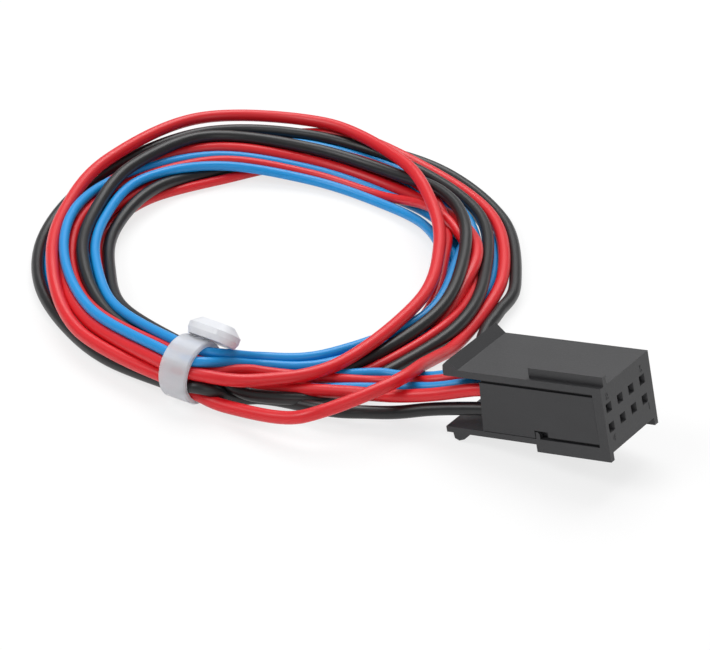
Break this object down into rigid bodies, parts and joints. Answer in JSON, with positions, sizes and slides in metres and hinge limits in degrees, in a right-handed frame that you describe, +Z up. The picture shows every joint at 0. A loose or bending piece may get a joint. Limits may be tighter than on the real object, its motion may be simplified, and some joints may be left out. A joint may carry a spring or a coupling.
{
  "type": "connector wiring harness",
  "caption": "Coiled flying-lead wiring harness: black, red and blue wires crimped into a black receptacle connector with a sliding lock housing, held by a white strap.",
  "frame": {"origin": "on the supporting surface, under the middle of the connector", "axes": "+X towards the connector's mating side, whose axis rises 11.5 degrees over +X; +Y to the connector's far side; +Z up"},
  "size_m": [0.0978, 0.0706, 0.0148],
  "materials": {
    "housing_moulding": "fine moulded grain",
    "carrier_moulding": "smooth moulded",
    "contact_tin": "tin plated strip",
    "copper_strands": "bare stranded copper",
    "black_insulation": "satin extruded insulation",
    "red_insulation": "satin extruded insulation",
    "blue_insulation": "satin extruded insulation",
    "wire_bundle": "satin extruded insulation",
    "strap_white": "milky translucent moulded strap"
  },
  "bodies": {
    "harness": {"contact_carrier": "carrier_moulding", "contact_4": "contact_tin", "contact_5": "contact_tin", "contact_6": "contact_tin", "contact_7": "contact_tin", "contact_8": "contact_tin", "conductor_4": "copper_strands", "conductor_5": "copper_strands", "conductor_6": "copper_strands", "conductor_7": "copper_strands", "conductor_8": "copper_strands", "wire_4_black": "black_insulation", "wire_5_blue": "blue_insulation", "wire_6_red": "red_insulation", "wire_7_blue": "blue_insulation", "wire_8_red": "red_insulation", "wire_coil": "wire_bundle", "black_tail": "black_insulation", "black_tail_conductor": "copper_strands", "strap_band": "strap_white"},
    "housing": {"outer_housing": "housing_moulding"},
    "button": {"strap_button": "strap_white"}
  },
  "joints": [
    {"name": "housing_slide", "type": "slide", "parent": "harness", "child": "housing", "axis": [0.9799, 0, 0.1994], "range_m": [0, 0.001]},
    {"name": "button_pull", "type": "slide", "parent": "harness", "child": "button", "axis": [0, 0.6691, 0.7431], "range_m": [0, 0.003]}
  ]
}
